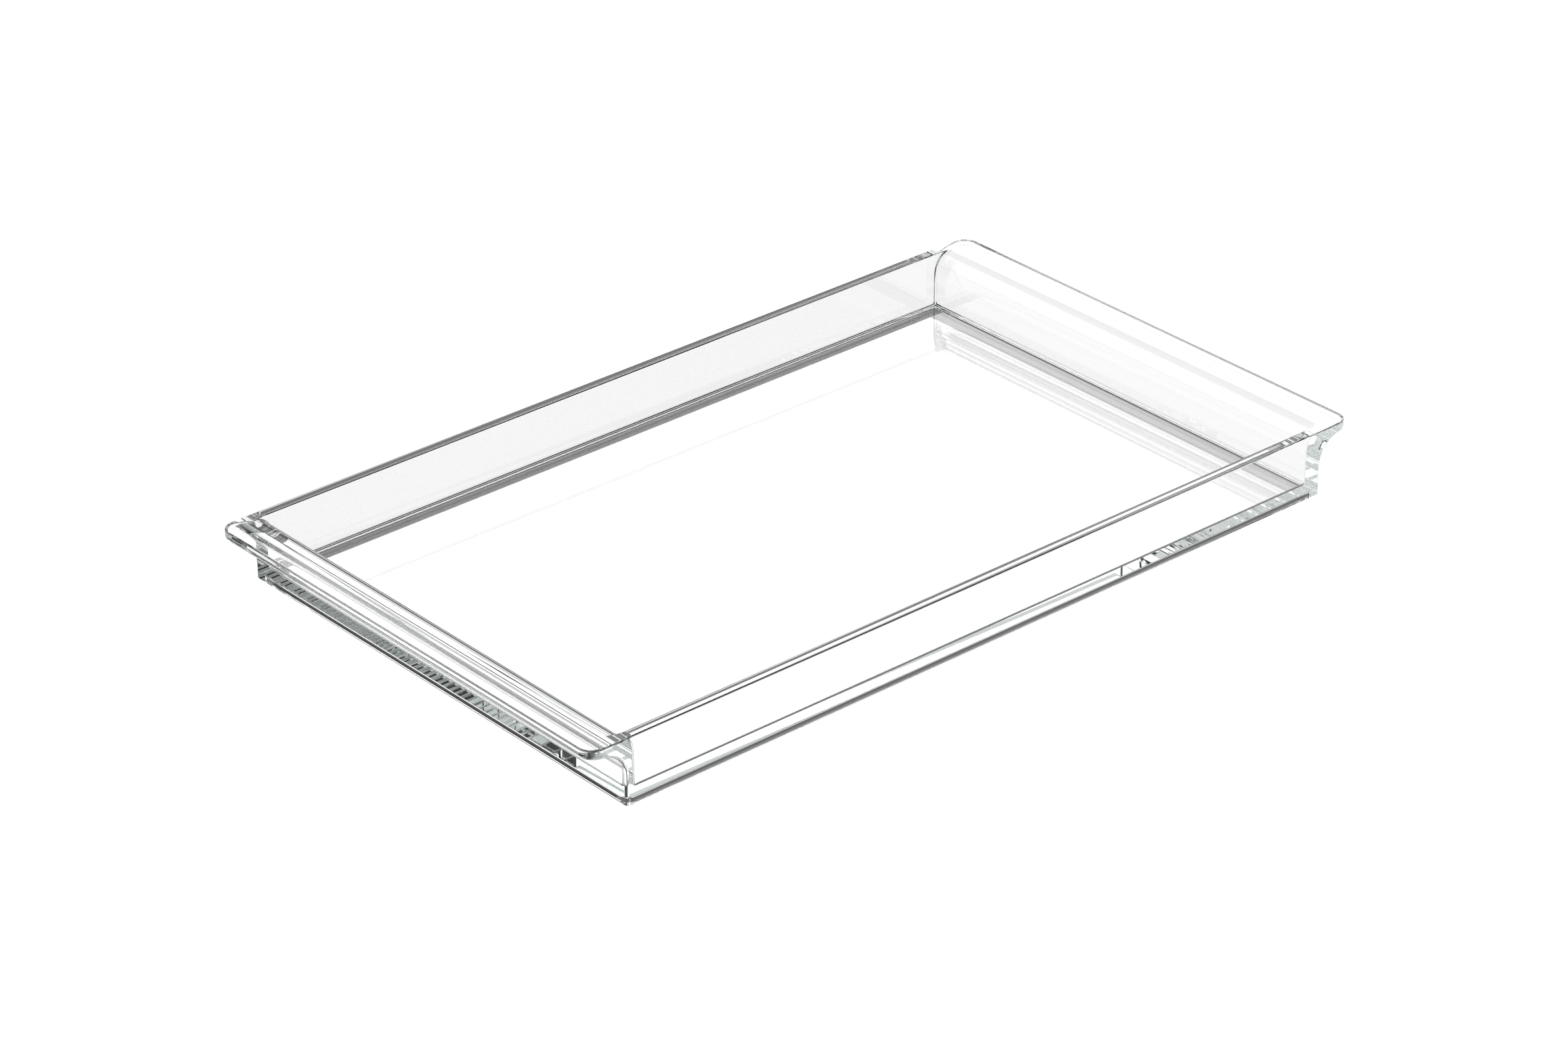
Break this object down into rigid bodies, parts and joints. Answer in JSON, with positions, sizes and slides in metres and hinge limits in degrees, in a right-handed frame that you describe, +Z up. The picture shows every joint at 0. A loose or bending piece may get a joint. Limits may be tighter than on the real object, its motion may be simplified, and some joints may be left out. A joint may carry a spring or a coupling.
{
  "type": "vanity tray",
  "caption": "Clear rectangular one-piece vanity tray with a flat floor, upright long walls and end walls that flare out into full-width lifting lips.",
  "frame": {"origin": "middle of the tray in plan, level with the bottom of the foot rim", "axes": "+X along the tray from one lip to the other, +Y across it, +Z up out of the open well"},
  "size_m": [0.356, 0.205, 0.026],
  "materials": {
    "clear_plastic": "polished, clear"
  },
  "bodies": {
    "root": {"tray_body": "clear_plastic"}
  },
  "joints": []
}
